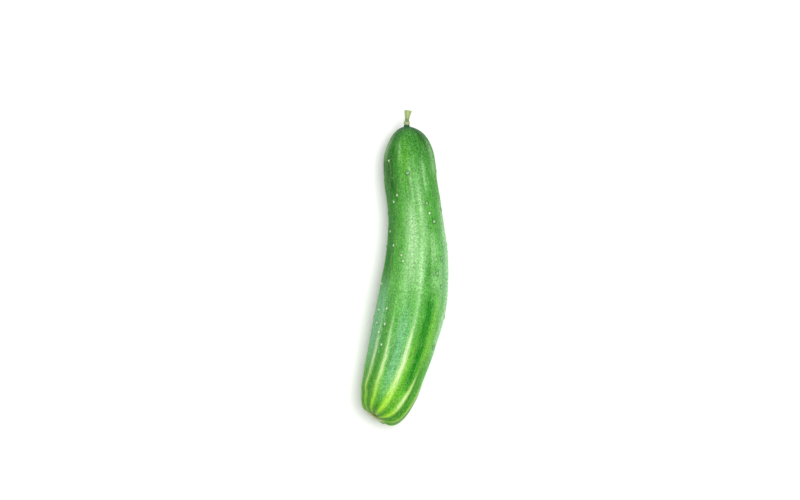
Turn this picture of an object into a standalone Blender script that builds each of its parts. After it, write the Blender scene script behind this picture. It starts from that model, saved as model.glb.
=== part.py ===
"""A fresh cucumber, as picked, lying on its side with its short cut stalk.

The fruit lies along Y with its stalk end towards +Y, and +Z is up. The origin is
on the surface that it lies on, under the middle of the whole thing's box.
Sizes below are in millimetres, and the meshes are in metres.
"""

import math
import random
from bisect import bisect_right

import bmesh
import bpy
from mathutils import Matrix, Vector

MM = 0.001

# The fruit from its stalk end (0) to its blossom end: distance down the fruit,
# how far its middle line bows towards +X there, and the radius of the flesh.
STATIONS = (
    (-12.0, -1.1, 18.8),
    (0.0, -2.3, 19.1),
    (14.0, -1.0, 19.0),
    (34.0, 0.1, 18.4),
    (60.0, 3.4, 18.8),
    (86.0, 5.0, 21.1),
    (110.0, 3.5, 23.3),
    (128.0, 0.8, 24.2),
    (150.0, -4.6, 23.0),
    (170.0, -10.0, 21.5),
    (184.0, -14.0, 20.2),
    (195.0, -18.7, 19.0),
    (203.2, -24.7, 19.0),
)
LENGTH = STATIONS[-1][0]
BELLY_RADIUS = max(station[2] for station in STATIONS)

# Rounded ends, as superellipse domes: length along the fruit, then the two powers.
NECK_RADIUS = 2.1
STEM_DOME_START = 1.0
STEM_DOME = (34.0, 2.28, 1.92)
BLOSSOM_DOME = (28.3, 3.7, 3.85)

# The underside is nearly straight, pressed flat a little where it lies, and lifts
# off the surface at the blossom end.
TAIL_LIFT = 9.4
TAIL_LIFT_FROM = 156.0
UNDERSIDE_RISE = 0.1
REST_PRESS = 0.6

# Ribs: angle round the fruit from its top towards +X, and how far apart the warts
# on that rib sit. The warts of the four upper ribs are listed one by one below, and
# the rib along the underside has none.
RIBS = (
    (-146.0, 26.0),
    (-113.0, 24.0),
    (-80.0, 25.0),
    (-50.0, None),
    (-26.0, None),
    (8.5, None),
    (44.0, None),
    (76.0, 24.0),
    (110.0, 24.0),
    (146.0, 26.0),
    (180.0, None),
)
RIB_WIDTH = 9.0
RIB_HEIGHT_STEM = 0.45
RIB_HEIGHT_TAIL = 0.9
RIB_FADE = 16.0
LOBE_SHARE = 0.012

# The ribs turn round the fruit a little before they meet in the scar: how far, in
# degrees, and from where to where down the fruit.
DRIFT = 11.0
DRIFT_FROM = 158.0
DRIFT_TO = 206.0

# Blossom scar: a small dimple with a raised lip round it.
SCAR_RADIUS = 2.6
SCAR_DEPTH = 1.4
LIP_RADIUS = 5.2
LIP_WIDTH = 1.5
LIP_HEIGHT = 0.45

# Warts: a low seven-sided dome with its root sunk into the skin.
WART_SIDES = 7
WART_PROFILE = ((1.1, -0.9), (1.7, -0.3), (1.1, 0.25), (0.45, 0.48))
WART_TIP = 0.66
WARTS_FROM = 20.0
WARTS_TO = 168.0
WART_LOWEST = 5.0
WART_SCATTER_ANGLE = 7.0
WART_SCATTER_SPACING = 0.2
WART_SEED = 4

# Warts of the upper side: distance down the fruit and angle.
UPPER_WARTS = (
    (24.5, -50.5),
    (34.0, -6.0),
    (48.0, -36.5),
    (52.5, -47.5),
    (56.5, 28.0),
    (64.0, 31.0),
    (70.0, 39.5),
    (74.0, -67.5),
    (85.5, -49.5),
    (93.5, -29.0),
    (94.0, 51.5),
    (97.5, -25.0),
    (104.0, 39.5),
    (112.0, 51.5),
    (131.0, -43.0),
    (133.5, -64.5),
    (141.5, -40.5),
    (142.5, -62.0),
    (148.0, -49.0),
    (155.5, -38.0),
)

# Stalk, from the fruit up to its cut end: height and radius.
STALK = (
    (0.3, 1.7),
    (0.8, 2.05),
    (1.7, 2.05),
    (2.7, 1.6),
    (4.2, 1.5),
    (6.5, 1.8),
    (9.0, 2.35),
    (10.2, 2.65),
)
STALK_CUT = (10.4, 2.45)
STALK_SIDES = 20
STALK_RINGS = 13
STALK_RIDGES = 5
STALK_RIDGE_SHARE = 0.09
STALK_RIDGE_FROM = 2.0
STALK_RIDGE_FULL = 8.0

# Mesh: lengthways lines from rib to rib, drawn a little towards the ribs, and rings.
COLUMNS_PER_RIB = 6
COLUMN_CROWDING = 0.045
DOME_RINGS = 11
BODY_RINGS = 17
SLOPE_STEP = 0.05
SHARP_ANGLE = math.radians(45.0)


def ease(share):
    """Rise from 0 to 1 with a smooth start and end."""
    share = min(max(share, 0.0), 1.0)
    return share * share * (3.0 - 2.0 * share)


def curve_through(rows, column, place):
    """Value of one column of a table at a place between its rows, on a smooth curve."""
    places = [row[0] for row in rows]
    values = [row[column] for row in rows]
    gaps = [b - a for a, b in zip(places, places[1:])]
    slopes = [(b - a) / gap for a, b, gap in zip(values, values[1:], gaps)]
    bends = [slopes[0]]
    for i in range(1, len(slopes)):
        weighted = slopes[i - 1] * gaps[i] + slopes[i] * gaps[i - 1]
        bends.append(weighted / (gaps[i - 1] + gaps[i]))
    bends.append(slopes[-1])
    place = min(max(place, places[0]), places[-1])
    i = min(max(bisect_right(places, place) - 1, 0), len(gaps) - 1)
    t = (place - places[i]) / gaps[i]
    start = (2 * t**3 - 3 * t**2 + 1) * values[i] + (t**3 - 2 * t**2 + t) * gaps[i] * bends[i]
    end = (3 * t**2 - 2 * t**3) * values[i + 1] + (t**3 - t**2) * gaps[i] * bends[i + 1]
    return start + end


def dome(reach, depth, fall, turn):
    """Share of the full radius at a reach into a rounded end."""
    share = min(max(reach / depth, 0.0), 1.0)
    return (1.0 - (1.0 - share) ** fall) ** (1.0 / turn)


def dome_reach(angle, depth, fall, turn):
    """Reach at which a rounded end has the radius share sin(angle)."""
    return depth * (1.0 - (1.0 - math.sin(angle) ** turn) ** (1.0 / fall))


def radius_at(down):
    """Radius of the flesh at a distance down the fruit, without its relief."""
    girth = curve_through(STATIONS, 2, down)
    stem = dome(down - STEM_DOME_START, *STEM_DOME)
    blossom = dome(LENGTH - down, *BLOSSOM_DOME)
    return math.hypot(girth * stem, NECK_RADIUS) * blossom


def spine_at(down):
    """Middle of the fruit, or of its stalk where down is negative."""
    bow = curve_through(STATIONS, 1, down)
    girth = curve_through(STATIONS, 2, down)
    lifted = min(max((down - TAIL_LIFT_FROM) / (LENGTH - TAIL_LIFT_FROM), 0.0), 1.0)
    height = BELLY_RADIUS - REST_PRESS - (1.0 - UNDERSIDE_RISE) * (BELLY_RADIUS - girth)
    return Vector((bow, -down, height + TAIL_LIFT * lifted**2))


def ring_frame(down):
    """Centre of a ring, with its sideways, upward and lengthways directions."""
    before = spine_at(down - SLOPE_STEP)
    after = spine_at(min(down + SLOPE_STEP, LENGTH))
    along = (after - before).normalized()
    side = Vector((0.0, 0.0, 1.0)).cross(along).normalized()
    return spine_at(down), side, along.cross(side), along


def rib_height(angle, down, radius):
    """Height of the ribbed skin over the round flesh."""
    crest = 0.0
    for rib_angle, _ in RIBS:
        away = (angle - rib_angle + 180.0) % 360.0 - 180.0
        crest += math.exp(-((away / RIB_WIDTH) ** 2))
    height = RIB_HEIGHT_STEM + (RIB_HEIGHT_TAIL - RIB_HEIGHT_STEM) * ease(down / LENGTH)
    return height * (crest - 0.5) * ease((radius - NECK_RADIUS) / RIB_FADE)


def drifted(down, angle):
    """Angle at which a lengthways line of the skin really runs at a distance down the fruit."""
    return angle - DRIFT * ease((down - DRIFT_FROM) / (DRIFT_TO - DRIFT_FROM))


def scar_height(radius):
    """Height of the dimple and lip round the middle of the blossom end."""
    dimple = SCAR_DEPTH * math.exp(-((radius / SCAR_RADIUS) ** 2))
    return LIP_HEIGHT * math.exp(-(((radius - LIP_RADIUS) / LIP_WIDTH) ** 2)) - dimple


def skin_at(down, angle):
    """Point of the fruit's skin, at an angle in degrees from its top towards +X."""
    centre, side, up, along = ring_frame(down)
    radius = radius_at(down)
    low = max(down - SLOPE_STEP, 0.0)
    high = min(down + SLOPE_STEP, LENGTH)
    slope = math.atan((radius_at(low) - radius_at(high)) / (high - low))
    lobes = radius * LOBE_SHARE * math.cos(math.radians(3.0 * angle))
    height = rib_height(angle, down, radius)
    if down > LENGTH / 2:
        height += scar_height(radius)
    turned = math.radians(drifted(down, angle))
    outward = side * math.sin(turned) + up * math.cos(turned)
    reach = radius + lobes + height * math.cos(slope)
    return centre + outward * reach + along * (height * math.sin(slope))


def outward_at(down, angle):
    """Direction straight out of the skin at a point of it."""
    lengthways = skin_at(down + 1.0, angle) - skin_at(down - 1.0, angle)
    crossways = skin_at(down, angle + 3.0) - skin_at(down, angle - 3.0)
    return lengthways.cross(crossways).normalized()


def ring_places():
    """Distances down the fruit of its rings, closer together at the rounded ends."""
    turns = [math.radians(90.0 * i / DOME_RINGS) for i in range(DOME_RINGS + 1)]
    stem = [STEM_DOME_START + dome_reach(turn, *STEM_DOME) for turn in turns]
    blossom = [LENGTH - dome_reach(turn, *BLOSSOM_DOME) for turn in reversed(turns[1:])]
    step = (blossom[0] - stem[-1]) / BODY_RINGS
    body = [stem[-1] + step * i for i in range(1, BODY_RINGS)]
    return [0.0] + stem + body + blossom


def column_angles():
    """Angles of the lengthways lines of the mesh, the same number from rib to rib."""
    crests = [rib_angle for rib_angle, _ in RIBS]
    angles = []
    for here, there in zip(crests, crests[1:] + [crests[0] + 360.0]):
        for i in range(COLUMNS_PER_RIB):
            share = i / COLUMNS_PER_RIB
            share -= COLUMN_CROWDING * math.sin(2.0 * math.pi * share)
            angles.append(here + (there - here) * share)
    return angles


def closed_tube(name, rings, tip=None):
    """Mesh object through rings of points, with a flat end and a flat or pointed one."""
    bm = bmesh.new()
    loops = [[bm.verts.new(point * MM) for point in ring] for ring in rings]
    for near, far in zip(loops, loops[1:]):
        for i in range(len(near)):
            j = (i + 1) % len(near)
            bm.faces.new((near[i], near[j], far[j], far[i]))
    bm.faces.new(loops[0])
    if tip is None:
        bm.faces.new(loops[-1])
    else:
        apex = bm.verts.new(tip * MM)
        for i in range(len(loops[-1])):
            bm.faces.new((loops[-1][i], loops[-1][(i + 1) % len(loops[-1])], apex))
    bmesh.ops.recalc_face_normals(bm, faces=bm.faces)
    mesh = bpy.data.meshes.new(name)
    bm.to_mesh(mesh)
    bm.free()
    made = bpy.data.objects.new(name, mesh)
    bpy.context.collection.objects.link(made)
    return made


def plain_material(name, colour, roughness):
    """Principled material with one colour."""
    made = bpy.data.materials.new(name)
    made.use_nodes = True
    shader = made.node_tree.nodes["Principled BSDF"]
    shader.inputs["Base Color"].default_value = (*colour, 1.0)
    shader.inputs["Roughness"].default_value = roughness
    shader.inputs["Metallic"].default_value = 0.0
    return made


def press_flat(thing):
    """Cut off what reaches below the surface, and close the cut with one flat face."""
    bm = bmesh.new()
    bm.from_mesh(thing.data)
    everything = bm.verts[:] + bm.edges[:] + bm.faces[:]
    ground = bmesh.ops.bisect_plane(
        bm,
        geom=everything,
        plane_co=(0.0, 0.0, 0.0),
        plane_no=(0.0, 0.0, -1.0),
        clear_outer=True,
    )
    rim = [item for item in ground["geom_cut"] if isinstance(item, bmesh.types.BMEdge)]
    bmesh.ops.edgeloop_fill(bm, edges=rim)
    bmesh.ops.recalc_face_normals(bm, faces=bm.faces)
    bm.to_mesh(thing.data)
    bm.free()


def wart_places():
    """Distance down the fruit and angle of each wart, by a rule on the ribs without a list."""
    chance = random.Random(WART_SEED)
    places = list(UPPER_WARTS)
    for rib_angle, spacing in RIBS:
        if spacing is None:
            continue
        down = WARTS_FROM + spacing * chance.random()
        while down < WARTS_TO:
            angle = rib_angle + WART_SCATTER_ANGLE * chance.uniform(-1.0, 1.0)
            if skin_at(down, angle).z > WART_LOWEST:
                places.append((down, angle))
            down += spacing * (1.0 + WART_SCATTER_SPACING * chance.uniform(-1.0, 1.0))
    return places


def wart_shape():
    """Mesh of one wart, standing on the origin."""
    rings = []
    for radius, height in WART_PROFILE:
        turns = [2.0 * math.pi * i / WART_SIDES for i in range(WART_SIDES)]
        rings.append([Vector((radius * math.cos(t), radius * math.sin(t), height)) for t in turns])
    shape = closed_tube("wart", rings, tip=Vector((0.0, 0.0, WART_TIP)))
    mesh = shape.data
    bpy.data.objects.remove(shape)
    return mesh


def fuse_warts(fruit):
    """Join the warts to the fruit in one union, and remove the loose ones."""
    warts = bpy.data.collections.new("warts")
    bpy.context.scene.collection.children.link(warts)
    shape = wart_shape()
    for i, (down, angle) in enumerate(wart_places()):
        wart = bpy.data.objects.new(f"wart_{i}", shape)
        warts.objects.link(wart)
        turn = outward_at(down, angle).to_track_quat("Z", "Y").to_matrix().to_4x4()
        wart.matrix_world = Matrix.Translation(skin_at(down, angle) * MM) @ turn
    join = fruit.modifiers.new("fuse warts", "BOOLEAN")
    join.operation = "UNION"
    join.operand_type = "COLLECTION"
    join.collection = warts
    join.solver = "EXACT"
    bpy.context.view_layer.update()
    evaluated = fruit.evaluated_get(bpy.context.evaluated_depsgraph_get())
    fused = bpy.data.meshes.new_from_object(evaluated)
    fruit.modifiers.clear()
    fruit.data = fused
    for wart in list(warts.objects):
        bpy.data.objects.remove(wart)
    bpy.data.collections.remove(warts)
    bpy.data.meshes.remove(shape)


def build_fruit():
    """The ribbed fruit with its warts, its blossom scar and its flat resting spot."""
    places = ring_places()
    angles = column_angles()
    rings = [[skin_at(down, angle) for angle in angles] for down in places[:-1]]
    fruit = closed_tube("fruit", rings, tip=skin_at(LENGTH, 0.0))
    press_flat(fruit)
    fuse_warts(fruit)
    fruit.data.name = "fruit"
    fruit.data.materials.clear()
    fruit.data.materials.append(plain_material("cucumber skin", (0.15, 0.47, 0.095), 0.42))
    fruit.data.shade_smooth()
    fruit.data.set_sharp_from_angle(angle=SHARP_ANGLE)
    return fruit


def build_stalk():
    """The stalk: a knob where it meets the fruit, a narrow waist and a wider cut end."""
    base = STALK[0][0]
    top = STALK[-1][0]
    rows = [base + (top - base) * i / STALK_RINGS for i in range(STALK_RINGS + 1)]
    profile = [(height, curve_through(STALK, 1, height)) for height in rows]
    rings = []
    for height, radius in profile + [STALK_CUT]:
        centre, side, up, _ = ring_frame(-height)
        grown = ease((height - STALK_RIDGE_FROM) / (STALK_RIDGE_FULL - STALK_RIDGE_FROM))
        ring = []
        for i in range(STALK_SIDES):
            turn = 2.0 * math.pi * i / STALK_SIDES
            reach = radius * (1.0 + STALK_RIDGE_SHARE * grown * math.cos(STALK_RIDGES * turn))
            ring.append(centre + (side * math.sin(turn) + up * math.cos(turn)) * reach)
        rings.append(ring)
    stalk = closed_tube("stalk", rings)
    stalk.data.materials.append(plain_material("stalk", (0.27, 0.36, 0.14), 0.6))
    stalk.data.shade_smooth()
    stalk.data.set_sharp_from_angle(angle=SHARP_ANGLE)
    return stalk


def centre_on_origin(things):
    """Move everything sideways so that the origin is under the middle of its box."""
    points = [vertex.co for thing in things for vertex in thing.data.vertices]
    middle_x = (min(p.x for p in points) + max(p.x for p in points)) / 2
    middle_y = (min(p.y for p in points) + max(p.y for p in points)) / 2
    for thing in things:
        thing.location = (-middle_x, -middle_y, 0.0)
    bpy.context.view_layer.update()


def main():
    """Clear the scene and build the cucumber in it."""
    for old in list(bpy.data.objects):
        bpy.data.objects.remove(old)
    centre_on_origin([build_fruit(), build_stalk()])


main()
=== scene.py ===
# %% [markdown]
# A cucumber as picked, lying on its side and seen from straight above. The solids of the fruit
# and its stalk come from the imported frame, which says where everything is and how big it is.
# This script never moves them. It grows a finer skin over each of them from the same
# measurements, and then adds what is too small for a solid: spines, hairs and the dry scar.

import math
import random

import bpy
import numpy as np
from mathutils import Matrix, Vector


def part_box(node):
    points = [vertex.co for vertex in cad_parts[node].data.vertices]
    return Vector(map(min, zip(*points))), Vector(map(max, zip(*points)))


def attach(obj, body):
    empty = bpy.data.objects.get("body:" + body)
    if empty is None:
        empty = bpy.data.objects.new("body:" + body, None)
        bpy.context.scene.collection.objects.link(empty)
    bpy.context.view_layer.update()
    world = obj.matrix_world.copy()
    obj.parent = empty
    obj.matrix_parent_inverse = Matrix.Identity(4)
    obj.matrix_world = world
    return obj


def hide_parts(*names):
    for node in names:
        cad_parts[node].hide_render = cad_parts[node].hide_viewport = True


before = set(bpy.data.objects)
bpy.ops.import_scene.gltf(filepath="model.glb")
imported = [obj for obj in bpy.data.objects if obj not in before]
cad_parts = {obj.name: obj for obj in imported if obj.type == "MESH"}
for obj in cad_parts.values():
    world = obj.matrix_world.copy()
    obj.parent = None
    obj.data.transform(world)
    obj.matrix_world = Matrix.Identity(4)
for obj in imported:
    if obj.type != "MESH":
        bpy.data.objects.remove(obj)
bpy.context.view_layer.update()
print("solids in the frame:", sorted(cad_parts))

# %% [markdown]
# A cucumber has no flat drawing, but it has a middle line. Walking down that line from the stalk
# end, a table says how far the line bows sideways and how thick the flesh is. A dozen rows are
# enough, because a smooth curve runs through them. Lengths are millimetres until the last step,
# because a millimetre is the natural unit of a fruit's skin.

# %% Measurements of the fruit
MM = 0.001

# distance down the fruit, bow of its middle line towards +X, radius of the flesh
STATIONS = np.array([
    (-12.0, -1.1, 18.8),
    (0.0, -2.3, 19.1),
    (14.0, -1.0, 19.0),
    (34.0, 0.1, 18.4),
    (60.0, 3.4, 18.8),
    (86.0, 5.0, 21.1),
    (110.0, 3.5, 23.3),
    (128.0, 0.8, 24.2),
    (150.0, -4.6, 23.0),
    (170.0, -10.0, 21.5),
    (184.0, -14.0, 20.2),
    (195.0, -18.7, 19.0),
    (203.2, -24.7, 19.0),
])
LENGTH = STATIONS[-1, 0]
BELLY_RADIUS = STATIONS[:, 2].max()


def curve_through(rows, column, place):
    """Values of one column of a table at places between its rows, on a smooth curve."""
    at = rows[:, 0]
    value = rows[:, column]
    gap = np.diff(at)
    slope = np.diff(value) / gap
    inner = (slope[:-1] * gap[1:] + slope[1:] * gap[:-1]) / (gap[1:] + gap[:-1])
    bend = np.concatenate(([slope[0]], inner, [slope[-1]]))
    place = np.clip(place, at[0], at[-1])
    i = np.clip(np.searchsorted(at, place, side="right") - 1, 0, len(gap) - 1)
    t = (place - at[i]) / gap[i]
    start = (2 * t**3 - 3 * t**2 + 1) * value[i] + (t**3 - 2 * t**2 + t) * gap[i] * bend[i]
    end = (3 * t**2 - 2 * t**3) * value[i + 1] + (t**3 - t**2) * gap[i] * bend[i + 1]
    return start + end


def ease(share):
    """Rise from 0 to 1 with a smooth start and end."""
    share = np.clip(share, 0.0, 1.0)
    return share * share * (3.0 - 2.0 * share)


print("the fruit is", LENGTH, "mm along its middle line and", 2 * BELLY_RADIUS, "mm thick")

# %% [markdown]
# Both ends close as domes. A half circle would look like a sausage, and a real stalk end is
# fuller than that, and a real blossom end blunter still. A superellipse has two powers that set
# just this: how quickly the end falls away, and how tightly it turns over.

# %% Rounded ends
NECK_RADIUS = 2.1
STEM_DOME_START = 1.0
STEM_DOME = (34.0, 2.28, 1.92)
BLOSSOM_DOME = (28.3, 3.7, 3.85)


def dome(reach, depth, fall, turn):
    """Share of the full radius at a reach into a rounded end."""
    share = np.clip(reach / depth, 0.0, 1.0)
    return (1.0 - (1.0 - share) ** fall) ** (1.0 / turn)


def dome_reach(angle, depth, fall, turn):
    """Reach at which a rounded end has the radius share sin(angle)."""
    return depth * (1.0 - (1.0 - np.sin(angle) ** turn) ** (1.0 / fall))


def radius_at(down):
    """Radius of the flesh at distances down the fruit, without its relief."""
    girth = curve_through(STATIONS, 2, down)
    stem = dome(down - STEM_DOME_START, *STEM_DOME)
    blossom = dome(LENGTH - down, *BLOSSOM_DOME)
    return np.hypot(girth * stem, NECK_RADIUS) * blossom


# %% [markdown]
# The middle line also has a height. The thinner parts sit low, so that the underside is nearly
# straight and the fruit lies on it, and only the blossom end lifts. Around the line, each ring
# of skin needs three directions: sideways, up and along.

# %% Middle line and rings
TAIL_LIFT = 9.4
TAIL_LIFT_FROM = 156.0
UNDERSIDE_RISE = 0.1
REST_PRESS = 0.6
SLOPE_STEP = 0.05


def spine_at(down):
    """Middle of the fruit, or of its stalk where down is negative."""
    bow = curve_through(STATIONS, 1, down)
    girth = curve_through(STATIONS, 2, down)
    lifted = np.clip((down - TAIL_LIFT_FROM) / (LENGTH - TAIL_LIFT_FROM), 0.0, 1.0)
    height = BELLY_RADIUS - REST_PRESS - (1.0 - UNDERSIDE_RISE) * (BELLY_RADIUS - girth)
    return np.stack([bow, -down, height + TAIL_LIFT * lifted**2], axis=-1)


def unit(vectors):
    """The same directions with a length of one."""
    return vectors / np.linalg.norm(vectors, axis=-1, keepdims=True)


def ring_frame(down):
    """Centres of rings, with their sideways, upward and lengthways directions."""
    before = spine_at(down - SLOPE_STEP)
    after = spine_at(np.minimum(down + SLOPE_STEP, LENGTH))
    along = unit(after - before)
    side = unit(np.cross((0.0, 0.0, 1.0), along))
    return spine_at(down), side, np.cross(along, side), along


# %% [markdown]
# Low ribs run the whole length. They are slight near the stalk, clearer towards the blossom end,
# and fade into both poles. Each one is a bell curve of the angle round the fruit, so the ribs
# are one sum, and the skin between them stays round. The fruit is also faintly three-sided.

# %% Ribs
# angle round the fruit from its top towards +X, and how far apart the warts on that rib sit
RIBS = (
    (-146.0, 26.0),
    (-113.0, 24.0),
    (-80.0, 25.0),
    (-50.0, None),
    (-26.0, None),
    (8.5, None),
    (44.0, None),
    (76.0, 24.0),
    (110.0, 24.0),
    (146.0, 26.0),
    (180.0, None),
)
RIB_WIDTH = 9.0
RIB_HEIGHT_STEM = 0.45
RIB_HEIGHT_TAIL = 0.9
RIB_FADE = 16.0
LOBE_SHARE = 0.012


def away_from(angle, other):
    """Signed angle in degrees from one direction round the fruit to another."""
    return (angle - other + 180.0) % 360.0 - 180.0


def bell(offset, width):
    """Bell curve: 1 where the offset is 0, and falling away on both sides."""
    return np.exp(-((offset / width) ** 2))


def rib_crests(angle):
    """How far the skin is up on the ribs, round the fruit."""
    return sum(bell(away_from(angle, rib), RIB_WIDTH) for rib, _ in RIBS)


def rib_height(down, angle, radius):
    """Height of the ribbed skin over the round flesh."""
    height = RIB_HEIGHT_STEM + (RIB_HEIGHT_TAIL - RIB_HEIGHT_STEM) * ease(down / LENGTH)
    return height * (rib_crests(angle) - 0.5) * ease((radius - NECK_RADIUS) / RIB_FADE)


print(len(RIBS), "ribs")

# %% [markdown]
# Near the blossom end the ribs turn a little round the fruit, because the scar where they meet
# sits off to one side. It is easier to bend the lines of the net than the ribs on it, so every
# line of the skin keeps its own angle as its name, and this says where it really runs.

# %% Drift of the ribs
DRIFT = 11.0
DRIFT_FROM = 158.0
DRIFT_TO = 206.0


def drifted(down, angle):
    """Angle at which a lengthways line of the skin really runs."""
    return angle - DRIFT * ease((down - DRIFT_FROM) / (DRIFT_TO - DRIFT_FROM))


print("the lines turn by up to", DRIFT, "degrees")

# %% [markdown]
# The blossom end carries a scar: a small dimple with a raised lip, and fine furrows that run into
# it between the ribs, like the gathered mouth of a bag. A bell curve sinks the dimple and another
# lifts the lip. The skin is nowhere perfectly even either, so a slow swell of a few waves goes
# over all of it.

# %% Blossom scar and slow swell
SCAR_RADIUS = 2.6
SCAR_DEPTH = 1.4
LIP_RADIUS = 5.2
LIP_WIDTH = 1.5
LIP_HEIGHT = 0.45
FURROW_DEPTH = 0.28
FURROW_REACH = 7.5
SWELL = 0.09
# pace down the fruit, how many round it, where it starts, share of the swell
SWELL_WAVES = (
    (0.11, 2, 0.0, 1.0),
    (0.19, -3, 1.3, 1.0),
    (0.37, 5, 0.4, 0.6),
)


def hollow(angle):
    """How far the skin is down between the ribs, round the fruit."""
    return 1.0 - np.clip(rib_crests(angle), 0.0, 1.0)


def scar_height(radius, angle):
    """Height of the dimple, its lip and the furrows round the middle of the blossom end."""
    dimple = SCAR_DEPTH * bell(radius, SCAR_RADIUS)
    lip = LIP_HEIGHT * bell(radius - LIP_RADIUS, LIP_WIDTH)
    reach = bell(radius - LIP_RADIUS, FURROW_REACH) * ease(radius / LIP_RADIUS)
    return lip - dimple - FURROW_DEPTH * reach * hollow(angle)


def swell_height(down, angle, radius):
    """Slow unevenness of the skin, which dies out at both poles."""
    turn = np.radians(angle)
    waves = sum(
        share * np.sin(pace * down + many * turn + start) for pace, many, start, share in SWELL_WAVES
    )
    return SWELL * waves * ease(radius / RIB_FADE)


def skin_at(down, angle, extra=0.0):
    """Points of the skin for matching arrays of distance and angle, and its outward slope."""
    centre, side, up, along = ring_frame(down)
    radius = radius_at(down)
    low = np.maximum(down - SLOPE_STEP, 0.0)
    high = np.minimum(down + SLOPE_STEP, LENGTH)
    slope = np.arctan((radius_at(low) - radius_at(high)) / (high - low))
    lobes = radius * LOBE_SHARE * np.cos(np.radians(3.0 * angle))
    height = rib_height(down, angle, radius) + swell_height(down, angle, radius) + extra
    height = height + np.where(down > LENGTH / 2, scar_height(radius, angle), 0.0)
    turned = np.radians(drifted(down, angle))
    outward = side * np.sin(turned)[..., None] + up * np.cos(turned)[..., None]
    reach = (radius + lobes + height * np.cos(slope))[..., None]
    return centre + outward * reach + along * (height * np.sin(slope))[..., None]


# %% [markdown]
# Warts sit along the ribs. Those of the upper side are listed one by one. The others follow from
# a spacing and a little scatter by a seeded draw, so they fall in the same places on every run,
# and none grows where the fruit lies on the surface. Each is a low round bump here, raised from
# the skin itself rather than stuck on.

# %% Places of the warts
WARTS_FROM = 20.0
WARTS_TO = 168.0
WART_LOWEST = 5.0
WART_SCATTER_ANGLE = 7.0
WART_SCATTER_SPACING = 0.2
WART_SEED = 4
WART_REACH = 1.75
WART_HEIGHT = 0.6
WART_FALL = 1.3
SPINE_LOST_EVERY = 4

# warts of the upper side: distance down the fruit, angle, and 1 where the spine is still there
UPPER_WARTS = (
    (24.5, -50.5, 1),
    (34.0, -6.0, 0),
    (48.0, -36.5, 1),
    (52.5, -47.5, 1),
    (56.5, 28.0, 0),
    (64.0, 31.0, 1),
    (70.0, 39.5, 0),
    (74.0, -67.5, 1),
    (85.5, -49.5, 1),
    (93.5, -29.0, 1),
    (94.0, 51.5, 0),
    (97.5, -25.0, 1),
    (104.0, 39.5, 0),
    (112.0, 51.5, 0),
    (131.0, -43.0, 1),
    (133.5, -64.5, 1),
    (141.5, -40.5, 1),
    (142.5, -62.0, 1),
    (148.0, -49.0, 1),
    (155.5, -38.0, 1),
)


def wart_places():
    """Distance down the fruit and angle of each wart, and whether it has its spine."""
    chance = random.Random(WART_SEED)
    places = list(UPPER_WARTS)
    for rib_angle, spacing in RIBS:
        if spacing is None:
            continue
        down = WARTS_FROM + spacing * chance.random()
        while down < WARTS_TO:
            angle = rib_angle + WART_SCATTER_ANGLE * chance.uniform(-1.0, 1.0)
            if skin_at(np.array(down), np.array(angle))[2] > WART_LOWEST:
                places.append((down, angle, 1 if len(places) % SPINE_LOST_EVERY else 0))
            down += spacing * (1.0 + WART_SCATTER_SPACING * chance.uniform(-1.0, 1.0))
    return np.array(places)


WARTS = wart_places()
print(len(WARTS), "warts,", int(WARTS[:, 2].sum()), "with a spine")


def nearest_wart(down, angle, radius):
    """Distance in millimetres over the skin to the nearest wart, and whether that has its spine."""
    nearest = np.full(np.shape(down), np.inf)
    whole = np.zeros(np.shape(down))
    for wart_down, wart_angle, has_spine in WARTS:
        across = np.radians(away_from(angle, wart_angle)) * radius
        distance = np.hypot(down - wart_down, across)
        whole = np.where(distance < nearest, has_spine, whole)
        nearest = np.minimum(nearest, distance)
    return nearest, whole


def near(distance, full, soft):
    """Share that is 1 within a distance, and falls softly to 0 past it."""
    return 1.0 - ease((distance - full) / soft)


# %% [markdown]
# The skin itself is a net of rings and lengthways lines, closer together at the rounded ends,
# where the shape changes fastest. A net made by formula is better here than subdividing the
# solid: every point knows how far down and how far round the fruit it is, and the colours can
# use that later. Points that would be under the surface are pressed up onto it.

# %% Grow the fine skin
LINES = 308
DOME_RINGS = 62
BODY_RINGS = 170


def ring_places():
    """Distances down the fruit of its rings."""
    turns = np.radians(np.linspace(0.0, 90.0, DOME_RINGS + 1))
    stem = STEM_DOME_START + dome_reach(turns, *STEM_DOME)
    blossom = LENGTH - dome_reach(turns[::-1], *BLOSSOM_DOME)
    body = np.linspace(stem[-1], blossom[0], BODY_RINGS + 1)[1:-1]
    return np.concatenate(([0.0], stem, body, blossom))


def tube_faces(rings, lines, first=0):
    """Faces of a tube of rings, closed at its start, with one point past its last ring."""
    ring = first + np.arange(rings - 1)[:, None] * lines
    here = np.arange(lines)[None, :]
    there = (here + 1) % lines
    sides = np.stack([ring + lines + here, ring + lines + there, ring + there, ring + here], -1)
    last = first + (rings - 1) * lines
    end = [[last + (i + 1) % lines, last + i, last + lines] for i in range(lines)]
    return sides.reshape(-1, 4).tolist() + [list(range(first, first + lines))] + end


def new_object(name, corners, faces):
    """Object with a smooth mesh, from its corners in metres and its faces."""
    mesh = bpy.data.meshes.new(name)
    mesh.from_pydata(corners, [], faces)
    mesh.validate()
    mesh.shade_smooth()
    made = bpy.data.objects.new(name, mesh)
    bpy.context.scene.collection.objects.link(made)
    return made


def closed_tube(name, points, tip):
    """Object through rings of points in metres, which ends in a tip."""
    rings, lines, _ = points.shape
    corners = points.reshape(-1, 3).tolist() + [list(tip)]
    return new_object(name, corners, tube_faces(rings, lines))


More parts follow.
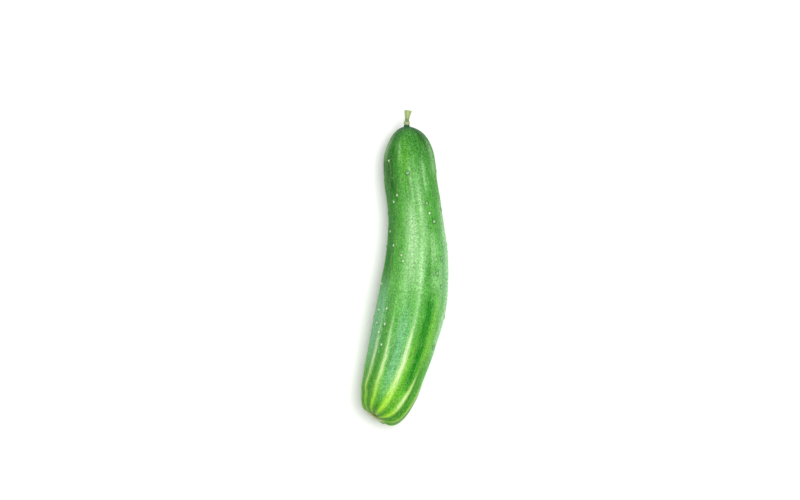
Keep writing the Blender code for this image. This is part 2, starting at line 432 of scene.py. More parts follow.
down_rings = ring_places()[:-1]
angle_lines = -180.0 + 360.0 * np.arange(LINES) / LINES
skin_down, skin_angle = np.meshgrid(down_rings, angle_lines, indexing="ij")
skin_radius = radius_at(skin_down)
skin_wart, skin_whole = nearest_wart(skin_down, skin_angle, skin_radius)
wart_share = near(skin_wart, 0.0, WART_REACH)
skin_points = skin_at(skin_down, skin_angle, WART_HEIGHT * wart_share**WART_FALL)
pole = skin_at(np.array([LENGTH]), np.array([0.0]))[0]
print("skin net:", skin_points.shape[0], "rings of", LINES, "points")

# %% [markdown]
# The net is drawn with the stalk end at y = 0. The frame has its own origin, so the net is set on
# the fruit's solid by matching the middles of their boxes. One shift serves every piece below.

# %% Set the net on the solid
cad_low, cad_high = (np.array(corner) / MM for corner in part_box("fruit"))
net_low = skin_points.min(axis=(0, 1))
net_high = skin_points.max(axis=(0, 1))
SHIFT = ((cad_low + cad_high) - (net_low + net_high)) / 2
SHIFT[2] = 0.0


def placed(points):
    """Points of the net in the frame, in metres, none of them under the surface."""
    moved = points + SHIFT
    return np.concatenate([moved[..., :2], np.maximum(moved[..., 2:], 0.0)], axis=-1) * MM


fruit_skin = closed_tube("fruit_skin", placed(skin_points), placed(pole))
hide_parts("fruit")
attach(fruit_skin, "root")
print("shift of the net, mm:", SHIFT.round(2), "faces:", len(fruit_skin.data.polygons))

# %% [markdown]
# The stalk is a short, cut piece with five angles. It starts as a pale knob on the dark tip
# of the fruit, narrows to a waist and widens again towards the cut. The solid has this profile
# already, so the finer skin repeats it with more rings, and adds what the solid leaves out:
# shallow grooves between the angles, small uneven lumps, and a cut face that has dried hollow.

# %% Profile of the stalk
# height above the tip of the fruit, radius
STALK = np.array([
    (0.3, 1.7),
    (0.8, 2.05),
    (1.7, 2.05),
    (2.7, 1.6),
    (4.2, 1.5),
    (6.5, 1.8),
    (9.0, 2.35),
    (10.2, 2.65),
])
STALK_CUT = (10.4, 2.45)
STALK_RIDGES = 5
STALK_RIDGE_SHARE = 0.09
STALK_RIDGE_FROM = 2.0
STALK_RIDGE_FULL = 8.0
STALK_SUNK = 0.7
STALK_LINES = 140
STALK_GROOVES = 0.05
STALK_LUMPS = 0.06
KNOB_HEIGHT = 1.3
KNOB_WIDTH = 0.9


def stalk_reach(height, turn):
    """Radius of the stalk with its angles, grooves and lumps."""
    radius = curve_through(STALK, 1, height)
    grown = ease((height - STALK_RIDGE_FROM) / (STALK_RIDGE_FULL - STALK_RIDGE_FROM))
    angles = 1.0 + STALK_RIDGE_SHARE * grown * np.cos(STALK_RIDGES * turn)
    grooves = STALK_GROOVES * (0.3 + 0.7 * grown) * np.cos(3 * STALK_RIDGES * turn + 0.35 * height)
    lumps = np.sin(2.0 * turn + 1.9 * height) + np.sin(5.0 * turn - 2.7 * height + 0.8)
    knob = bell(height - KNOB_HEIGHT, KNOB_WIDTH)
    lumps = lumps + knob * np.sin(9.0 * turn + 0.6)
    return radius * angles + grooves + STALK_LUMPS * lumps * np.clip(radius / 2.0, 0.0, 1.0)


def stalk_at(height, reach, turn):
    """Points of the stalk at a height, distance from its middle and turn round it."""
    centre, side, up, _ = ring_frame(-height)
    outward = side * np.sin(turn)[..., None] + up * np.cos(turn)[..., None]
    return centre + outward * reach[..., None]


# %% [markdown]
# The cut face is a net of rings too, which shrink towards the middle. Real stalks shrink most in
# their soft pith, so the face is a shallow dish with a ring of ten firmer bundles standing in it.

# %% Grow the stalk
SIDE_RINGS = 96
# the rounded edge of the cut: height, and share of the radius below it
CUT_EDGE = np.array([(10.3, 0.985), (10.37, 0.965), (STALK_CUT[0], STALK_CUT[1] / STALK[-1, 1])])
FACE_SHARES = np.array([0.985, 0.95, 0.9, 0.84, 0.77, 0.7, 0.63, 0.56, 0.48, 0.39, 0.3, 0.2, 0.1, 0.04])
BUNDLES = 10
BUNDLE_SHARE = 0.66
BUNDLE_WIDTH = 0.11
BUNDLE_HEIGHT = 0.16
DISH_DEPTH = 0.55
DISH_EDGE = 0.75
DISH_CURVE = 1.2

side_heights = np.concatenate((np.linspace(-STALK_SUNK, STALK[-1, 0], SIDE_RINGS), CUT_EDGE[:, 0]))
side_shares = np.concatenate((np.ones(SIDE_RINGS), CUT_EDGE[:, 1]))
stalk_turns = 2.0 * math.pi * np.arange(STALK_LINES) / STALK_LINES
side_height, side_turn = np.meshgrid(side_heights, stalk_turns, indexing="ij")
side_reach = stalk_reach(np.maximum(side_height, STALK[0, 0]), side_turn) * side_shares[:, None]

face_share, face_turn = np.meshgrid(FACE_SHARES, stalk_turns, indexing="ij")
bundle = bell(face_share - BUNDLE_SHARE, BUNDLE_WIDTH) * (0.5 + 0.5 * np.cos(BUNDLES * face_turn)) ** 2
dish = DISH_DEPTH * ease((1.0 - face_share) / DISH_EDGE) ** DISH_CURVE
face_height = STALK_CUT[0] - dish + BUNDLE_HEIGHT * bundle
face_reach = side_reach[-1] * face_share

stalk_height = np.concatenate((side_height, face_height))
stalk_turn = np.concatenate((side_turn, face_turn))
stalk_points = stalk_at(stalk_height, np.concatenate((side_reach, face_reach)), stalk_turn)
stalk_tip = stalk_points[-1].mean(axis=0)
stalk_skin = closed_tube("stalk_skin", placed(stalk_points), placed(stalk_tip))
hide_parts("stalk")
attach(stalk_skin, "root")

# %% [markdown]
# Later the shaders need to know where on a piece they are: how far down the fruit, how far up a
# spine, inside a stripe or not. The pieces are made by formula, so this is known for every point
# now. It is stored on the mesh as attributes, which survive any export and need no unwrapping.

# %% Helper that stores numbers on a mesh
def carry(thing, places=False, **named):
    """Store named numbers, or named places, for each point of a mesh, for its shader to read."""
    kind, field, width = ("FLOAT_VECTOR", "vector", 3) if places else ("FLOAT", "value", 1)
    for name, values in named.items():
        attribute = thing.data.attributes.new(name, kind, "POINT")
        padded = np.zeros((len(thing.data.vertices), width), np.float32)
        flat = np.asarray(values, np.float32).reshape(-1, width)
        padded[: len(flat)] = flat
        padded[len(flat):] = flat[-1]
        attribute.data.foreach_set(field, padded.ravel())


# %% [markdown]
# Spines, prickles and hairs are all slim cones. One helper makes any number of them as a
# single mesh: each cone has a base, a few rings that bend a little towards a side, and a point.
# Separate objects for hundreds of hairs would only make the scene slow.

# %% Helper for many small cones
# a direction that none of the cones has
OFF_WAY = (0.31, 0.17, 0.93)


def cones(name, roots, ways, leans, lengths, widths, sides=5, rings=3, blunt=0.0):
    """One mesh of slim cones from their roots, directions, sideways leans, lengths and widths."""
    corners = []
    faces = []
    turns = 2.0 * math.pi * np.arange(sides) / sides
    for root, way, lean, length, width in zip(roots, ways, leans, lengths, widths):
        across = unit(np.cross(way, OFF_WAY))
        other = np.cross(way, across)
        faces += tube_faces(rings, sides, len(corners))
        for ring in range(rings):
            share = ring / rings
            middle = root + way * length * share + lean * length * share**2
            size = width * (1.0 - (1.0 - blunt) * share**1.4)
            corners += [middle + (across * math.cos(t) + other * math.sin(t)) * size for t in turns]
        corners.append(root + way * length + lean * length)
    made = new_object(name, placed(np.array(corners)).tolist(), faces)
    along = np.append(np.repeat(np.arange(rings) / rings, sides), 1.0)
    carry(made, along=np.tile(along, len(lengths)))
    carry(made, places=True, grain_place=corners)
    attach(made, "root")
    return made


def skin_normal(down, angle):
    """Outward direction of the skin at a distance and angle."""
    down = np.asarray(down, float)
    angle = np.asarray(angle, float)
    lengthways = skin_at(down + 0.3, angle) - skin_at(down - 0.3, angle)
    around = skin_at(down, angle + 1.0) - skin_at(down, angle - 1.0)
    return unit(np.cross(lengthways, around))


# %% [markdown]
# Every wart of a young cucumber ends in a stiff white spine. They rub off easily when the fruit is
# handled. Some warts here have lost theirs and show a dark pit in its place, and a quarter of the
# others are broken short. The rest lean a little, each its own way.

# %% Spines on the warts
SPINE_SEED = 11
SPINE_LENGTH = (0.8, 1.35)
SPINE_WIDTH = 0.24
SPINE_LEAN = ((-0.3, 0.3), (-0.35, 0.25), (-0.1, 0.1))
SPINE_SUNK = 0.12
BROKEN_SHARE = 0.25
BROKEN_LENGTH = (0.3, 0.5)
BROKEN_WIDTH = 0.3


def drawn(chance, ranges):
    """One random number from each range."""
    return [chance.uniform(low, high) for low, high in ranges]


def columns(rows):
    """The columns of a list of rows, each as an array."""
    return [np.array(column) for column in zip(*rows)]


chance = random.Random(SPINE_SEED)
spine_rows = []
for wart_down, wart_angle, _ in WARTS[WARTS[:, 2] > 0]:
    broken = chance.random() < BROKEN_SHARE
    length = chance.uniform(*(BROKEN_LENGTH if broken else SPINE_LENGTH))
    width = BROKEN_WIDTH if broken else SPINE_WIDTH
    spine_rows.append((wart_down, wart_angle, drawn(chance, SPINE_LEAN), length, width))

spine_down, spine_angle, *spine_shape = columns(spine_rows)
spines = cones(
    "spines",
    skin_at(spine_down, spine_angle, WART_HEIGHT - SPINE_SUNK),
    skin_normal(spine_down, spine_angle),
    *spine_shape,
    sides=8,
    rings=5,
    blunt=0.12,
)
print(len(spine_rows), "spines, the longest", round(max(row[3] for row in spine_rows), 2), "mm")

# %% [markdown]
# Between the warts the ribs carry finer prickles, like the stubble on a chin. From a distance they
# only soften the outline, so they are very small and grow mostly along the ribs.

# %% Fine prickles
PRICKLES = 620
PRICKLE_SEED = 23
PRICKLE_DOWN = (6.0, 196.0)
PRICKLE_SPREAD = 6.5
PRICKLE_LOWEST = 2.0
PRICKLE_LENGTH = (0.3, 0.62)
PRICKLE_WIDTH = (0.045, 0.075)
PRICKLE_LEAN = ((-0.35, 0.35), (-0.35, 0.35), (-0.2, 0.2))
PRICKLE_SUNK = 0.06

chance = random.Random(PRICKLE_SEED)
prickle_rows = []
while len(prickle_rows) < PRICKLES:
    rib_angle = chance.choice(RIBS)[0]
    down = chance.uniform(*PRICKLE_DOWN)
    angle = rib_angle + chance.gauss(0.0, PRICKLE_SPREAD)
    if skin_at(np.array(down), np.array(angle))[2] < PRICKLE_LOWEST:
        continue
    lean = drawn(chance, PRICKLE_LEAN)
    prickle_rows.append((down, angle, lean, *drawn(chance, (PRICKLE_LENGTH, PRICKLE_WIDTH))))

prickle_down, prickle_angle, *prickle_shape = columns(prickle_rows)
prickle_wart = nearest_wart(prickle_down, prickle_angle, radius_at(prickle_down))[0]
prickle_rise = 0.8 * (WART_HEIGHT * near(prickle_wart, 0.0, WART_REACH)) - PRICKLE_SUNK
prickles = cones(
    "fine_prickles",
    skin_at(prickle_down, prickle_angle, prickle_rise),
    skin_normal(prickle_down, prickle_angle),
    *prickle_shape,
)
print(PRICKLES, "fine prickles")

# %% [markdown]
# The stalk is downy as well. Its hairs are softer and longer than the prickles, and they stand
# away from it on all sides.

# %% Down on the stalk
STALK_HAIRS = 260
HAIR_SEED = 37
HAIR_HEIGHT = (0.9, 10.0)
HAIR_LENGTH = (0.35, 0.8)
HAIR_WIDTH = (0.03, 0.05)
HAIR_LEAN = ((-0.3, 0.3),) * 3
HAIR_SUNK = 0.03

chance = random.Random(HAIR_SEED)
hair_height = np.array(drawn(chance, [HAIR_HEIGHT] * STALK_HAIRS))
hair_turn = np.array(drawn(chance, [(0.0, 2.0 * math.pi)] * STALK_HAIRS))
hair_roots = stalk_at(hair_height, stalk_reach(hair_height, hair_turn) - HAIR_SUNK, hair_turn)
stalk_hairs = cones(
    "stalk_hairs",
    hair_roots,
    unit(hair_roots - ring_frame(-hair_height)[0]),
    np.array([drawn(chance, HAIR_LEAN) for _ in range(STALK_HAIRS)]),
    drawn(chance, [HAIR_LENGTH] * STALK_HAIRS),
    drawn(chance, [HAIR_WIDTH] * STALK_HAIRS),
    sides=4,
)
print(STALK_HAIRS, "hairs on the stalk")

# %% [markdown]
# In the dimple of the scar stands a thin corky ring, tan and torn at its edge. It is a low crown
# with two skins, an outer and an inner one, so that it has a real thickness. The torn edge is a
# sum of waves that don't repeat round the ring.

# %% Corky ring of the blossom scar
CORK_LINES = 96
CORK_RADIUS = 2.3
CORK_HEIGHT = 0.42
# radius, height over the floor, share of the torn crown on top of it, how far up it is
CORK_RINGS = (
    (CORK_RADIUS, -0.35, 0.0, 0.0),
    (2.4, 0.0, 0.0, 0.3),
    (2.25, 0.0, 0.5, 0.7),
    (2.0, 0.0, 1.0, 1.0),
    (1.8, 0.0, 0.9, 0.9),
    (1.65, -0.1, 0.3, 0.4),
    (1.4, -0.3, 0.0, 0.1),
    (0.9, -0.42, 0.0, 0.0),
    (0.5, -0.5, 0.0, 0.0),
)
# how many waves round the ring, where they start, how strong
TORN_WAVES = ((5, 0.5, 0.22), (11, 1.7, 0.16), (17, 0.2, 0.12), (29, 0.0, 0.1))
WANDER_WAVES = ((3, 1.0, 0.05), (7, 0.0, 0.03))

tail_centre, tail_side, tail_up, tail_along = (part[0] for part in ring_frame(np.array([LENGTH])))
cork_turns = 2.0 * math.pi * np.arange(CORK_LINES) / CORK_LINES
cork_outward = tail_side * np.sin(cork_turns)[:, None] + tail_up * np.cos(cork_turns)[:, None]


def with_waves(level, waves):
    """A level round the cork with waves added to it."""
    return sum((strong * np.sin(many * cork_turns + start) for many, start, strong in waves), level)


torn = with_waves(0.5, TORN_WAVES)
wander = with_waves(1.0, WANDER_WAVES)
floor_height = -SCAR_DEPTH * bell(CORK_RADIUS, SCAR_RADIUS)


def cork_ring(radius, height, crown):
    """One ring of the cork, at a radius and a height over the dimple's floor."""
    rise = floor_height + height + CORK_HEIGHT * crown * torn
    return tail_centre + cork_outward * (radius * wander)[:, None] + tail_along * rise[:, None]


cork_points = np.stack([cork_ring(*row[:3]) for row in CORK_RINGS])
cork = closed_tube("blossom_scar", placed(cork_points), placed(cork_points[-1].mean(axis=0)))
carry(cork, raised=np.repeat([row[3] for row in CORK_RINGS], CORK_LINES))
carry(cork, places=True, grain_place=cork_points)
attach(cork, "root")
print("corky ring:", len(cork.data.polygons), "faces")

# %% [markdown]
# Colour on a cucumber follows its growth. It is deep green round the stalk, fresh green in the
# middle and yellower at the blossom end. Pale stripes run along the ribs there and fade out half
# way up. A stripe is a mask: it rises slowly along its rib and falls away to both sides of it.
# Some stripes stray a little from their rib on the way, so each has an angle for both its ends.

# %% Stripes along the ribs
STRIPE_FADE_FROM = 2.8
STRIPE_FADE = 5.0
STRIPE_THIN = 0.35
STRIPE_WIDEN = 1.5
STRIPE_BRIGHTEN = 0.6
STRIPE_FULL_RADIUS = 16.0
# angle at its start and at the blossom end, where it starts and is full, strength, half-width in mm
STRIPES = (
    (-146, -146, 130, 186, 0.7, 1.3),
    (-113, -113, 132, 186, 0.8, 1.3),
    (-80, -80, 146, 190, 0.7, 1.1),
    (-49, -51, 130, 164, 0.75, 1.4),
    (-28, -20.5, 118, 166, 0.72, 1.4),
    (9, 11.5, 104, 172, 1, 1.9),
    (49, 41, 166, 189, 1, 1.6),
    (76, 76, 150, 190, 0.7, 1.1),
    (110, 110, 135, 188, 0.8, 1.2),
    (146, 146, 130, 186, 0.7, 1.3),
    (180, 180, 120, 182, 0.8, 1.6),
)


def stripe_mask(down, angle, radius):
    """Strength of the pale stripes along the ribs."""
    total = np.zeros_like(down)
    for first, last, start, full, strength, half_width in STRIPES:
        middle = first + (last - first) * np.clip((down - start) / (LENGTH - start), 0.0, 1.0)
        across = np.radians(away_from(angle, middle)) * np.maximum(radius, 1.0)
        grown = ease((down - start) / (full - start))
        width = half_width * (STRIPE_THIN + (1.0 - STRIPE_THIN) * grown**STRIPE_WIDEN)
        width = width * np.clip(radius / STRIPE_FULL_RADIUS, 0.3, 1.0)
        total = np.maximum(total, strength * grown**STRIPE_BRIGHTEN * bell(across, width))
    return total * ease((radius - STRIPE_FADE_FROM) / STRIPE_FADE)


carry(fruit_skin, down=skin_down / LENGTH, stripe=stripe_mask(skin_down, skin_angle, skin_radius))
print(len(STRIPES), "stripes")

# %% [markdown]
# Between the stripes the green isn't even. Large soft patches lie on it: a dark flank, a paler
# back, a saturated panel, a bluish bloom. Each is partly the fruit's own tone and partly painted
# light: painted shade on the dark flank, the saturated panels and the underside, a painted
# highlight along the paler back, and painted reflection of the bright surroundings in the pale
# and bluish patches at the edges. A painter would lay these as washes, one tone at a time, so
# each is a soft-edged patch by distance and angle. The shader breaks the edges up with streaks
# afterwards, so they don't look sprayed on. The last tone, cream, is kept for the stripes, and
# whitens parts of two of them.

# %% Washes of tone
# angle at its start and end, half-width in degrees, from, to and soft edge, strength
WASHES = {
    # deep green: partly the fruit's own darker tone, partly painted shade on the flank away from the light
    # and on the underside
    "deep_and_painted_shade": (
        (-52, -50, 20, 14, 50, 24, 1),
        (-90, -92, 22, 0, 50, 30, 0.9),
        (42, 44, 22, -4, 18, 16, 0.9),
        (-36, -54, 30, -20, 12, 14, 0.5),
        (-42, -39, 8, 122, 200, 24, 0.45),
        (60, 62, 9, 172, 204, 16, 0.5),
        (-9, -9, 8, 201, 208, 5, 0.35),
        (-56, -60, 15, 46, 114, 30, 0.45),
        (-15, -14, 5, 152, 172, 14, 0.4),
        (122, 112, 22, 14, 110, 60, 0.7),
        (-128, -134, 14, 20, 160, 70, 0.5),
    ),
    "lime": (
        (22, 21, 7, 146, 194, 26, 0.65),
        (7, 5, 6, 184, 206, 12, 0.8),
        (-13, -11, 7, 182, 194, 10, 0.4),
        (14, 28, 22, 180, 206, 18, 0.6),
        (45, 46, 6, 124, 184, 24, 0.6),
        (54, 58, 12, 136, 200, 30, 0.8),
        (-14, -6, 14, 12, 40, 20, 0.25),
        (172, 184, 34, 30, 176, 60, 0.5),
        (-100, -96, 22, 150, 210, 40, 0.3),
    ),
    # saturated green: partly the fruit's own tone, partly painted shade on the sides of ribs and on the flank
    # away from the light
    "vivid_and_painted_shade": (
        (21, 24, 7, 94, 114, 18, 0.7),
        (30, 36.5, 9, 118, 182, 18, 1),
        (46, 42, 12, 44, 76, 20, 0.5),
        (55, 59, 13, 160, 206, 26, 0.75),
        (-66, -68, 17, 44, 118, 28, 0.95),
        (-92, -92, 18, 40, 116, 30, 0.8),
        (24, 26, 10, 192, 210, 12, 0.5),
        (-8, 4, 12, 194, 210, 12, 0.3),
    ),
    # pale green: partly the fruit's paler tone, partly a painted highlight along the top and painted
    # reflection of the bright surroundings at the edges
    "pale": (
        (-6, -9, 12, 58, 112, 34, 0.85),
        (6, 7, 8, 80, 114, 30, 0.7),
        (15, 14, 9, 36, 98, 40, 0.45),
        (-1, 0, 4, 28, 62, 20, 0.5),
        (-24, -22, 4, 12, 24, 10, 0.25),
        (62, 64, 8, 14, 34, 12, 0.5),
        (76, 78, 13, 62, 148, 40, 1),
        (-72, -72, 10, 8, 22, 12, 0.55),
        (30, 32, 4.5, 26, 48, 14, 0.6),
        (31, 32, 5.5, 78, 98, 12, 0.6),
        (50, 54, 11, 96, 122, 26, 0.3),
        (-16, -14, 7, 96, 122, 34, 0.5),
        (33, 34, 6, 102, 114, 12, 0.35),
    ),
    # bluish bloom: partly the real wax bloom, partly painted reflection of the bright surroundings along the
    # flanks
    "bloom_and_painted_reflection": (
        (-64, -66, 17, 118, 168, 34, 0.9),
        (-7, -3, 10, 130, 190, 24, 0.6),
        (66, 70, 18, 78, 122, 34, 0.4),
        (96, 96, 24, 60, 176, 50, 0.8),
    ),
    "cream": (
        (46, 41, 8, 184, 196, 6, 0.8),
        (15, 13, 5, 150, 186, 14, 0.5),
    ),
}


def wash_mask(rows, down, angle):
    """Strength of one tone's washes."""
    total = np.zeros_like(down)
    for first, last, half_width, start, end, soft, strength in rows:
        middle = first + (last - first) * np.clip((down - start) / (end - start), 0.0, 1.0)
        down_it = ease((down - start + soft / 2) / soft) * ease((end + soft / 2 - down) / soft)
        round_it = bell(away_from(angle, middle), half_width)
        total = np.maximum(total, strength * round_it * down_it)
    return total


for tone, rows in WASHES.items():
    carry(fruit_skin, **{tone: wash_mask(rows, skin_down, skin_angle)})
    print(tone, "in", len(rows), "washes")

# %% [markdown]
# The small features have masks too: the hollows between the ribs, darkened as painted shade, the
# warts, their tips and the bare tops of warts without a spine, which are partly a painted
# highlight, a ring of painted shade round the foot of each wart, the dark dimple, the pale lip
# under it and the dark tip under the stalk. Two unrolled places go with them. One keeps its
# scale all over, for grain. The other closes up towards the ends as the ribs do, for streaks,
# because the skin's cells stretched along the same lines.

# %% Masks of the small features
# on a wart, in mm from its middle: how far each is full, and its soft edge
TIP = (0.25, 0.6)
# the pale tip and the bare top are partly a painted highlight on the top of the wart
BARE_TOP = (0.5, 0.6)
PIT = (0.15, 0.35)
# the same for the dark tip under the stalk, in mm down the fruit
DARK_TIP = (0.6, 5.0)
# the ring of painted shade at the foot of a wart, in mm: its radius and width
FOOT_RADIUS = 1.35
FOOT_WIDTH = 0.4
# round the scar, in mm: radius, width, and how far each draws in on the underside
STAIN_RADIUS = 5.2
STAIN_IN = 2.4
RIM_RADIUS = 6.0
RIM_WIDTH = 2.6
RIM_IN = 1.2
# in degrees from the top: where the underside starts, and over how far
UNDER_FROM = 50.0
UNDER_SOFT = 60.0
LINE_RADIUS = 20.0

tail_end = np.where(skin_down > LENGTH / 2, 1.0, 0.0)
underneath = ease((np.abs(skin_angle) - UNDER_FROM) / UNDER_SOFT)
rim = bell(skin_radius - RIM_RADIUS + RIM_IN * underneath, RIM_WIDTH)
carry(
    fruit_skin,
    # painted shade in the hollows between the ribs
    groove=hollow(skin_angle),
    wart=wart_share,
    # a ring of painted shade round the foot of each wart
    foot=(1.0 - 0.65 * skin_whole) * bell(skin_wart - FOOT_RADIUS, FOOT_WIDTH),
    # the pale tip and the bare top are partly a painted highlight on the top of the wart
    tip=skin_whole * near(skin_wart, *TIP),
    bare=(1.0 - skin_whole) * near(skin_wart, *BARE_TOP),
    pit=(1.0 - skin_whole) * near(skin_wart, *PIT),
    neck=near(skin_down, *DARK_TIP),
    scar=tail_end * bell(skin_radius, STAIN_RADIUS - STAIN_IN * underneath),
    rim=tail_end * (0.1 + 0.9 * underneath) * rim,
)


def rolled(radius, turn, along):
    """Places round and along a piece, from a radius, a turn and a distance along it."""
    return np.stack((radius * np.sin(turn), radius * np.cos(turn), along), -1)


carry(
    fruit_skin,
    places=True,
    grain_place=rolled(skin_radius, np.radians(drifted(skin_down, skin_angle)), skin_down),
    line_place=rolled(LINE_RADIUS, np.radians(skin_angle), skin_down),
)
print("the net carries", [a.name for a in fruit_skin.data.attributes if not a.is_internal])

# %% [markdown]
# The stalk carries its own masks: the height, the five angles, the cut face and the bundles in it.

# %% Masks of the stalk
STALK_GRAIN_RADIUS = 2.2

no_face = np.zeros_like(side_height)
middle = np.concatenate((no_face + 1.0, face_share))
carry(
    stalk_skin,
    height=stalk_height / STALK_CUT[0],
    angles=0.5 + 0.5 * np.cos(STALK_RIDGES * stalk_turn),
    face=np.concatenate((no_face, np.ones_like(face_share))),
    bundle=np.concatenate((no_face, bundle)),
    middle=middle,
)
carry(stalk_skin, places=True, grain_place=rolled(STALK_GRAIN_RADIUS * middle, stalk_turn, stalk_height))
print("the stalk carries", [a.name for a in stalk_skin.data.attributes if not a.is_internal])

# %% [markdown]
# Shaders are built from nodes. A node at a time is slow to write and hard to read, so this small
# helper adds a node, joins it and hands back its output, and a shader becomes a list of steps.

# %% Helpers for shaders
def colour(red, green, blue):
    """A screen colour, 0 to 255, as the linear colour that a shader needs."""
    def linear(value):
        value /= 255.0
        return value / 12.92 if value <= 0.04045 else ((value + 0.055) / 1.055) ** 2.4
    return (linear(red), linear(green), linear(blue), 1.0)


class Wiring:
    """Adds nodes to a tree and joins them, so that each step of a shader is one line."""

    def __init__(self, tree):
        self.tree = tree

    def node(self, kind, **settings):
        """Add a node and set its properties."""
        made = self.tree.nodes.new(kind)
        for name, value in settings.items():
            setattr(made, name, value)
        return made

    def feed(self, socket, value):
        """Join an output to an input, or set the input to a plain value."""
        if isinstance(value, bpy.types.NodeSocket):
            self.tree.links.new(value, socket)
        elif value is not None:
            socket.default_value = value

    def read(self, name):
        """A number that the mesh carries."""
        return self.node("ShaderNodeAttribute", attribute_name=name).outputs["Fac"]

    def place(self, name):
        """A place that the mesh carries."""
        return self.node("ShaderNodeAttribute", attribute_name=name).outputs["Vector"]

    def math(self, operation, first, second=None, clamp=False):
        """One sum."""
        made = self.node("ShaderNodeMath", operation=operation, use_clamp=clamp)
        self.feed(made.inputs[0], first)
        self.feed(made.inputs[1], second)
        return made.outputs[0]

    def times(self, first, second, clamp=False):
        """One number times another."""
        return self.math("MULTIPLY", first, second, clamp)

    def plus(self, first, second):
        """One number plus another."""
        return self.math("ADD", first, second)

    def stirred(self, value, noise, amount):
        """A number that a noise moves up and down by a little."""
        return self.plus(value, self.times(self.math("SUBTRACT", noise, 0.5), amount))

    def remap(self, value, low, high, to_low=0.0, to_high=1.0):
        """Stretch a range of numbers to another, and keep within it."""
        made = self.node("ShaderNodeMapRange", clamp=True)
        for socket, number in zip(made.inputs, (value, low, high, to_low, to_high)):
            self.feed(socket, number)
        return made.outputs[0]

    def blend(self, share, first, second, how="MIX"):
        """Go from one colour to another."""
        made = self.node("ShaderNodeMix", data_type="RGBA", blend_type=how)
        self.feed(made.inputs["Factor"], share)
        self.feed(made.inputs["A"], first)
        self.feed(made.inputs["B"], second)
        return made.outputs["Result"]

    def tint(self, under, mask, strength, over):
        """Lay a screen colour over another where a mask says, at a strength."""
        return self.blend(self.times(mask, strength), under, colour(*over))

    def ramp(self, place, *stops):
        """Colour that changes along a number, from stops of place and screen colour."""
        made = self.node("ShaderNodeValToRGB")
        self.feed(made.inputs["Fac"], place)
        stop = made.color_ramp.elements
        stop[0].position, stop[0].color = stops[0][0], colour(*stops[0][1])
        stop[1].position, stop[1].color = stops[-1][0], colour(*stops[-1][1])
        for at, shade in stops[1:-1]:
            stop.new(at).color = colour(*shade)
        return made.outputs["Color"]

    def effect(self, group, **values):
        """Place one of the shared effects with its own values."""
        made = self.node("ShaderNodeGroup", node_tree=group)
        for name, value in values.items():
            self.feed(made.inputs[name.replace("_", " ")], value)
        return made.outputs[0]

    def relief(self, shader, height, distance, strength):
        """Let a height roughen the surface, over a distance in metres."""
        bump = self.node("ShaderNodeBump")
        bump.inputs["Strength"].default_value = strength
        bump.inputs["Distance"].default_value = distance
        self.feed(bump.inputs["Height"], height)
        self.feed(shader.inputs["Normal"], bump.outputs["Normal"])


def new_material(name):
    """A material with its wiring and shader."""
    made = bpy.data.materials.new(name)
    made.use_nodes = True
    shader = made.node_tree.nodes["Principled BSDF"]
    return made, Wiring(made.node_tree), shader


def settle(node, **values):
    """Set plain values on a node's own sockets, with _ for each space in their names."""
    for name, value in values.items():
        node.inputs[name.replace("_", " ")].default_value = value


def new_effect(name, inputs, output):
    """Empty node group with its sockets, ready for its nodes."""
    group = bpy.data.node_groups.new(name, "ShaderNodeTree")
    for label, kind, value in inputs:
        socket = group.interface.new_socket(name=label, in_out="INPUT", socket_type=kind)
        if value is not None:
            socket.default_value = value
    group.interface.new_socket(name=output, in_out="OUTPUT", socket_type="NodeSocketFloat")
    wiring = Wiring(group)
    return group, wiring, wiring.node("NodeGroupInput").outputs, wiring.node("NodeGroupOutput").inputs


VECTOR = "NodeSocketVector"
NUMBER = "NodeSocketFloat"
print("helpers ready")

# %% [markdown]
# Three effects serve more than one of the materials. The first is streaks, because plant cells are
# drawn out along the way they grow. It is ordinary noise, read from a place that was squeezed
# along the fruit, so that every blot turns into a streak.

# %% Effect: lengthways streaks
streaks, w, given, result = new_effect(
    "lengthways streaks",
    [("Place", VECTOR, None), ("Across", NUMBER, 1.0), ("Along", NUMBER, 0.1)],
    "Streak",
)
stretch = w.node("ShaderNodeCombineXYZ")
w.feed(stretch.inputs[0], given["Across"])
w.feed(stretch.inputs[1], given["Across"])
w.feed(stretch.inputs[2], given["Along"])
scaled = w.node("ShaderNodeVectorMath", operation="MULTIPLY")
w.feed(scaled.inputs[0], given["Place"])
w.feed(scaled.inputs[1], stretch.outputs[0])
noise = w.node("ShaderNodeTexNoise")
w.feed(noise.inputs["Vector"], scaled.outputs[0])
w.feed(noise.inputs["Scale"], 1.0)
w.feed(noise.inputs["Detail"], 3.0)
w.feed(result[0], w.remap(noise.outputs["Fac"], 0.3, 0.7))
print("effect:", streaks.name)

# %% [markdown]
# The second is small flecks, such as breathing pores. A cell pattern gives every fleck a middle,
# and a slow noise changes their size from place to place, so that they gather and thin out.

# %% Effect: small flecks
flecks, w, given, result = new_effect(
    "small flecks",
    [("Place", VECTOR, None), ("Spacing", NUMBER, 2.0), ("Size", NUMBER, 0.3)],
    "Fleck",
)
cells = w.node("ShaderNodeTexVoronoi")
w.feed(cells.inputs["Vector"], given["Place"])
w.feed(cells.inputs["Scale"], w.math("DIVIDE", 1.0, given["Spacing"]))
uneven = w.node("ShaderNodeTexNoise")
w.feed(uneven.inputs["Vector"], given["Place"])
w.feed(uneven.inputs["Scale"], w.math("DIVIDE", 0.35, given["Spacing"]))
reach = w.times(given["Size"], w.remap(uneven.outputs["Fac"], 0.35, 0.65, 0.2, 1.4))
w.feed(result[0], w.remap(cells.outputs["Distance"], w.times(reach, 0.45), reach, 1.0, 0.0))
print("effect:", flecks.name)

# %% [markdown]
# The third is a soft mottling with a patch size. Living skin is never one flat tone, and mottling
# at two or three sizes, each faint, reads as skin where one strong pattern would read as paint.

